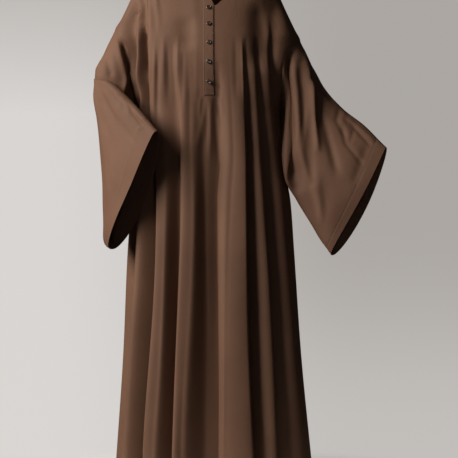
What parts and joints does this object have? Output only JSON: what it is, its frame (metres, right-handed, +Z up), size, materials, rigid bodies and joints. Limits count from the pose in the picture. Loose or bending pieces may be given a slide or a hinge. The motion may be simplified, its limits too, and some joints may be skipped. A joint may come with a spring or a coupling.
{
  "type": "abaya",
  "caption": "Full-length pull-on abaya as worn, in plain dark brown cloth, with wide bell sleeves, drop shoulders and a half button placket",
  "frame": {"origin": "middle of the neck opening, level with the high points of the shoulders", "axes": "+X the wearer's left, -Y the front, +Z up"},
  "size_m": [0.8251, 0.4103, 1.4602],
  "materials": {
    "cloth": "matte crepe with a faint soft sheen, dark brown",
    "button": "polished, very dark brown"
  },
  "bodies": {
    "root": {"front_panel": "cloth", "back_panel": "cloth", "right_sleeve": "cloth", "left_sleeve": "cloth", "button_placket": "cloth", "button_1": "button", "button_2": "button", "button_3": "button", "button_4": "button", "button_5": "button"}
  },
  "joints": []
}
